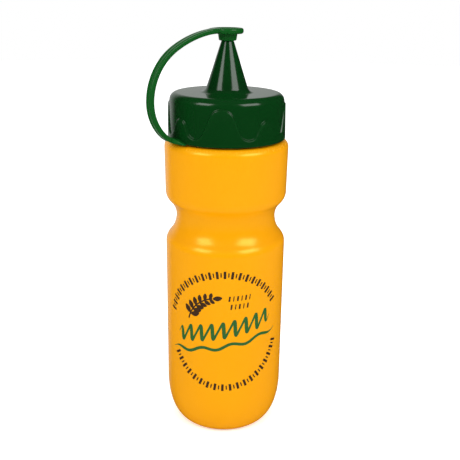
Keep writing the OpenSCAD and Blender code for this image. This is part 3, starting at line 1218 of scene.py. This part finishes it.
@dataclass
class FrontPrint:
    """Plain screen print on the bottle's front: a ring of ticks, a zigzag, a wavy line and small marks.

    Positions are on the unrolled wall: x to the right of the front's middle, and height above the base.
    The ink stands above the skin and reaches below it, so that no edge lifts off. The zigzag and the
    wavy line both climb by rise for each millimetre of x, and reach as far to each side as given.
    """

    body_r: float
    centre_z: float = 73.5
    ring_r: float = 37.3
    tick_l: float = 4.6
    tick_w: float = 1.5
    fine_tick: float = 0.6
    rise: float = 0.20
    zigzags: float = 9.0
    zigzag_reach: float = 31.0
    zigzag_up: float = 1.5
    swing: float = 4.8
    lean: float = 0.25
    wavy_reach: float = 36.0
    wavy_down: float = 9.5
    wavy_swing: float = 1.2
    wavy_l: float = 18.0
    stem_at: tuple = (-3.0, 76.0)
    stem_r: float = 20.0
    leaf_l: float = 6.4
    bar_z: float = 94.0
    bar_pitch: float = 2.5
    bar_l: float = 3.2
    bar_row: float = 5.2
    above: float = 0.05
    below: float = 0.12

    def wrapped(self, flat: np.ndarray, lift: float) -> np.ndarray:
        """Bends points (..., 2) of the unrolled wall round the bottle, lifted off it."""
        angle = -math.pi / 2 + flat[..., 0] / self.body_r
        return polar_grid(np.asarray(self.body_r + lift), angle, flat[..., 1])

    def stroke(self, path: np.ndarray, width: np.ndarray | float) -> Shell:
        """Thin closed strip along a path.

        Each row is a small loop: left edge, middle and right edge on top, and the same three below the
        surface on the way back.

        Args:
            path: Points (n, 2) of the strip's middle line.
            width: Its width, one number or one for each point.

        Returns:
            The shell.
        """
        heading = np.gradient(path, axis=0)
        heading /= np.linalg.norm(heading, axis=1, keepdims=True)
        half = np.broadcast_to(width, len(path))[:, None] / 2
        left = np.stack([-heading[:, 1], heading[:, 0]], axis=1) * half
        top = self.wrapped(np.stack([path + left, path, path - left], axis=1), self.above)
        under = self.wrapped(np.stack([path - left, path, path + left], axis=1), -self.below)
        return grid_shell(np.concatenate([top, under], axis=1), Ends.FLAT)

    def ring(self) -> Shell:
        """Two arcs of radial ticks round the print's centre, broad and fine in turn.

        The ticks stand at even angles, in degrees from the right, and the arcs leave a gap at each side.

        Returns:
            The shell of all the ticks.
        """
        centre = np.array([0, self.centre_z])
        kinds = ((self.tick_l, self.tick_w), (self.tick_l * self.fine_tick, self.tick_w / 2))
        ticks = []
        for start, end, count in ((166, 27, 41), (211, 342, 37)):
            for number, radial in enumerate(np.radians(np.linspace(start, end, count))):
                direction = np.array([math.cos(radial), math.sin(radial)])
                length, width = kinds[number % 2]
                inner = centre + direction * (self.ring_r - length / 2)
                ticks.append(self.stroke(line(inner, inner + direction * length, 4), width))
        return join(ticks)

    def wave(self) -> Shell:
        """Even zigzag like a line of sauce, and a wavy line under it.

        The zigzag's height is rise * x + swing * asin(0.94 sin p) / 1.2, with the phase p growing evenly, and
        its x leans with the height. The stroke is broad on the way down and fine on the way up. The wavy
        line's height is rise * x + wavy_swing * sin(2 pi x / wavy_l), and it tapers at both ends.

        Returns:
            The shell of both.
        """
        share = np.linspace(0, 1, 600)
        phase = TURN * self.zigzags * share
        ends = smooth(share / 0.06) * smooth((1 - share) / 0.06)
        height = self.swing * (0.5 + 0.5 * ends) * np.arcsin(0.94 * np.sin(phase)) / 1.2
        x = self.zigzag_reach * (2 * share - 1) + self.lean * height
        zigzag = np.stack([x, self.centre_z + self.zigzag_up + self.rise * x + height], axis=1)
        width = (1.5 - 0.5 * np.cos(phase)) * ends + 0.3
        x = np.linspace(-self.wavy_reach, self.wavy_reach, 160)
        ripple = self.wavy_swing * np.sin(TURN * x / self.wavy_l)
        wavy = np.stack([x, self.centre_z - self.wavy_down + self.rise * x + ripple], axis=1)
        taper = smooth((self.wavy_reach - np.abs(x)) / 9)
        return join([self.stroke(zigzag, width), self.stroke(wavy, 0.3 + 1.6 * taper)])

    def leaf(self, root: np.ndarray, heading: float, length: float) -> Shell:
        """Pointed leaf, as wide as 0.5 * length * sin(pi s)^0.8 at the share s along it, and bent a little.

        Args:
            root: Where it joins the stem.
            heading: Direction of its middle, in radians.
            length: Its length.

        Returns:
            The shell.
        """
        count = 15
        s = np.linspace(0.02, 0.98, count)
        bend = heading + 0.35 * (s - 0.5)
        step = np.stack([np.cos(bend), np.sin(bend)], axis=1) * length / count
        return self.stroke(root + np.cumsum(step, axis=0), 0.5 * length * np.sin(math.pi * s) ** 0.8 + 0.15)

    def marks(self) -> Shell:
        """Sprig with paired leaves at the upper left, and two rows of thin bars at the upper right.

        Returns:
            The shell of both.
        """
        stem = arc(self.stem_at, self.stem_r, 168, 102, 40)
        shells = [self.stroke(stem, 0.9)]
        for number, along in enumerate(range(6, 39, 6)):
            heading = math.atan2(*(stem[along + 1] - stem[along - 1])[::-1])
            for side in (-1, 1):
                shells.append(self.leaf(stem[along], heading + side * 0.95, self.leaf_l - 0.45 * number))
        shells.append(self.leaf(stem[-1], math.radians(8), 6.0))
        for row, (count, left) in enumerate(((6, 3.0), (5, 4.2))):
            for column in range(count):
                x = left + column * self.bar_pitch
                z = self.bar_z - row * self.bar_row + 0.10 * column
                bar = line((x, z), (x + 0.4, z + self.bar_l), 4)
                shells.append(self.stroke(bar, 0.6 if column % 2 else 1.0))
        return join(shells)

    def build(self) -> None:
        """Makes the three printed pieces, which ride on the bottle."""
        dark, green = DARK_INK.material(), GREEN_INK.material()
        pieces = (("print_ring", self.ring(), dark), ("print_wave", self.wave(), green),
                  ("print_marks", self.marks(), dark))
        for name, shell, ink in pieces:
            piece = make_piece(name, shell, ink, 50)
            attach(piece, "bottle")


# ---------------------------------------------------------------- studio


@dataclass(frozen=True)
class Softbox:
    """Rectangular area light, a metre from what it looks at.

    azimuth is its direction round the bottle, 0 at the front and positive to the right, and elevation is
    its direction above the floor, both in degrees. Its size is in millimetres and its power in watts.
    """

    name: str
    azimuth: float
    elevation: float
    width: float
    height: float
    power: float

    def build(self, target_z: float) -> None:
        """Adds the light.

        Args:
            target_z: Height of the point on the bottle's axis that it looks at, in millimetres.
        """
        data = bpy.data.lights.new(self.name, "AREA")
        data.shape = "RECTANGLE"
        data.size, data.size_y = self.width * MM, self.height * MM
        data.energy = self.power
        a, e = math.radians(self.azimuth), math.radians(self.elevation)
        away = Vector((math.sin(a) * math.cos(e), -math.cos(a) * math.cos(e), math.sin(e)))
        light = bpy.data.objects.new(self.name, data)
        light.location = Vector((0, 0, target_z * MM)) + away
        light.rotation_euler = away.to_track_quat("Z", "Y").to_euler()
        light.visible_camera = False
        bpy.context.scene.collection.objects.link(light)


SOFTBOXES = (
    Softbox("left_softbox", azimuth=-48, elevation=33, width=480, height=420, power=3.3),
    Softbox("right_softbox", azimuth=51, elevation=33, width=600, height=420, power=4.2))


@dataclass
class Studio:
    """White sweep, softboxes, surroundings and the camera.

    Angles are in degrees. The pale screen's middle lies screen_x to the right and screen_y behind, as a
    direction, and it fades out where another direction's dot product with that falls to screen_edge.
    """

    target_z: float
    floor_r: float = 2500.0
    floor_t: float = 8.0
    camera_at: tuple = (2.85, -419.6, 268.0)
    camera_pitch: float = 18.66
    camera_roll: float = 0.79
    lens: float = 55.56
    dim_glow: float = 0.015
    back_glow: float = 0.55
    screen_x: float = -0.32
    screen_y: float = 0.95
    screen_edge: float = 0.78
    screen_gain: float = 6.5
    fill_glow: float = 0.20
    fill_rise: float = 1.37
    horizon: float = 0.03
    horizon_gain: float = 12.0

    def floor(self) -> None:
        """Round floor under the bottle, which isn't part of it."""
        points = outline(line((1, -0.01), (self.floor_r, -0.01), 4),
                         line((self.floor_r, -self.floor_t), (1, -self.floor_t), 4))
        piece = make_piece("studio_floor", revolve(points, 64, Ends.POLES), FLOOR_FINISH.material(), 30)
        piece.visible_glossy = False

    def world(self) -> None:
        """Surroundings, which differ by what looks at them.

        The camera sees white. Matt surfaces are lit by a soft sky of fill_glow + fill_rise * up above the
        horizon, and glossy ones mirror a dark studio of dim_glow with one pale screen of back_glow behind
        the bottle, a little to the left.
        """
        world = bpy.data.worlds.new("studio_world")
        bpy.context.scene.world = world
        graph = Graph(world)
        place = graph.add("ShaderNodeTexCoord", {}, {}, "Generated")
        aside, behind, up = (
            graph.add("ShaderNodeSeparateXYZ", {}, {"Vector": place}, axis) for axis in "XYZ")
        above = ((up + self.horizon) * self.horizon_gain).clamped()
        facing = behind * self.screen_y + aside * self.screen_x
        screen = ((facing - self.screen_edge) * self.screen_gain).clamped()
        mirrored = screen * self.back_glow + self.dim_glow
        sky = above * (up * self.fill_rise + self.fill_glow)
        seen = graph.add("ShaderNodeLightPath", {}, {}, "Is Camera Ray")
        glossy = graph.add("ShaderNodeLightPath", {}, {}, "Is Glossy Ray")
        strength = seen + glossy * mirrored + (1 - seen - glossy) * sky
        shine = graph.add("ShaderNodeBackground", {}, {"Color": (1, 1, 1, 1), "Strength": strength})
        graph.add("ShaderNodeOutputWorld", {}, {"Surface": shine})

    def camera(self) -> None:
        """Adds the camera, which looks along +Y and down by its pitch."""
        data = bpy.data.cameras.new("studio_camera")
        data.lens, data.sensor_width, data.clip_start = self.lens, 36.0, 0.01
        camera = bpy.data.objects.new("studio_camera", data)
        tilt = Matrix.Rotation(math.radians(90 - self.camera_pitch), 4, "X")
        roll = Matrix.Rotation(math.radians(self.camera_roll), 4, "Z")
        camera.matrix_world = Matrix.Translation(Vector(self.camera_at) * MM) @ tilt @ roll
        bpy.context.scene.collection.objects.link(camera)
        bpy.context.scene.camera = camera

    def build(self) -> None:
        """Sets up the whole studio."""
        self.camera()
        self.floor()
        self.world()
        for softbox in SOFTBOXES:
            softbox.build(self.target_z)
        bpy.context.scene.view_settings.view_transform = "Standard"


def box_mm(node: str) -> tuple[np.ndarray, np.ndarray]:
    """Lowest and highest corner of a node, in millimetres."""
    low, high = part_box(node)
    return np.array(low) / MM, np.array(high) / MM


def main() -> None:
    """Builds the object round the frame, piece by piece.

    The heights and radii that two pieces share come from the frame's boxes, and the strap's place comes
    from its joints, whose pivots lie on its outer face.
    """
    logging.basicConfig(level=logging.INFO, format="%(name)s: %(message)s")
    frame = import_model()
    thread = Thread()
    _, bottle_top = box_mm("bottle")
    _, lid_high = box_mm("screw_lid")
    seal_low, seal_high = box_mm("neck_seal")
    cap_low, cap_high = box_mm("tip_cap")
    lid_z = Bottle.shoulder_z + Lid.seat
    bottle = Bottle(rim_z=bottle_top[2], upper_r=bottle_top[1], thread=thread, thread_z=lid_z + thread.rise)
    bottle.build()
    FrontPrint(body_r=bottle.body_r).build()
    NeckSeal(low_z=seal_low[2], high_z=seal_high[2], outer_r=seal_high[0]).build()
    lid = Lid(rim_z=lid_z, tip_z=lid_high[2], in_r=bottle.neck_r + thread.height + thread.gap, thread=thread)
    lid.build()
    TipCap(disc_r=cap_high[0], top_z=cap_high[2], skirt_z=cap_low[2]).build()
    bends = [j for j in frame["joints"] if j["child"].startswith("strap_link")]
    widest = max(bends, key=lambda j: math.hypot(*j["pos_m"][:2]))
    reach = math.hypot(*widest["pos_m"][:2]) / MM - Strap.thickness / 2
    Strap(reach=reach, level=widest["pos_m"][2] / MM, turn=math.atan2(*widest["pos_m"][1::-1]),
          rim_r=lid.band_low_r, cap_r=cap_high[0], links=tuple(j["child"] for j in bends),
          last_body="tip_cap", root_body=bends[0]["parent"]).build()
    Studio(target_z=bottle.waist_z).build()


if __name__ == "__main__":
    main()
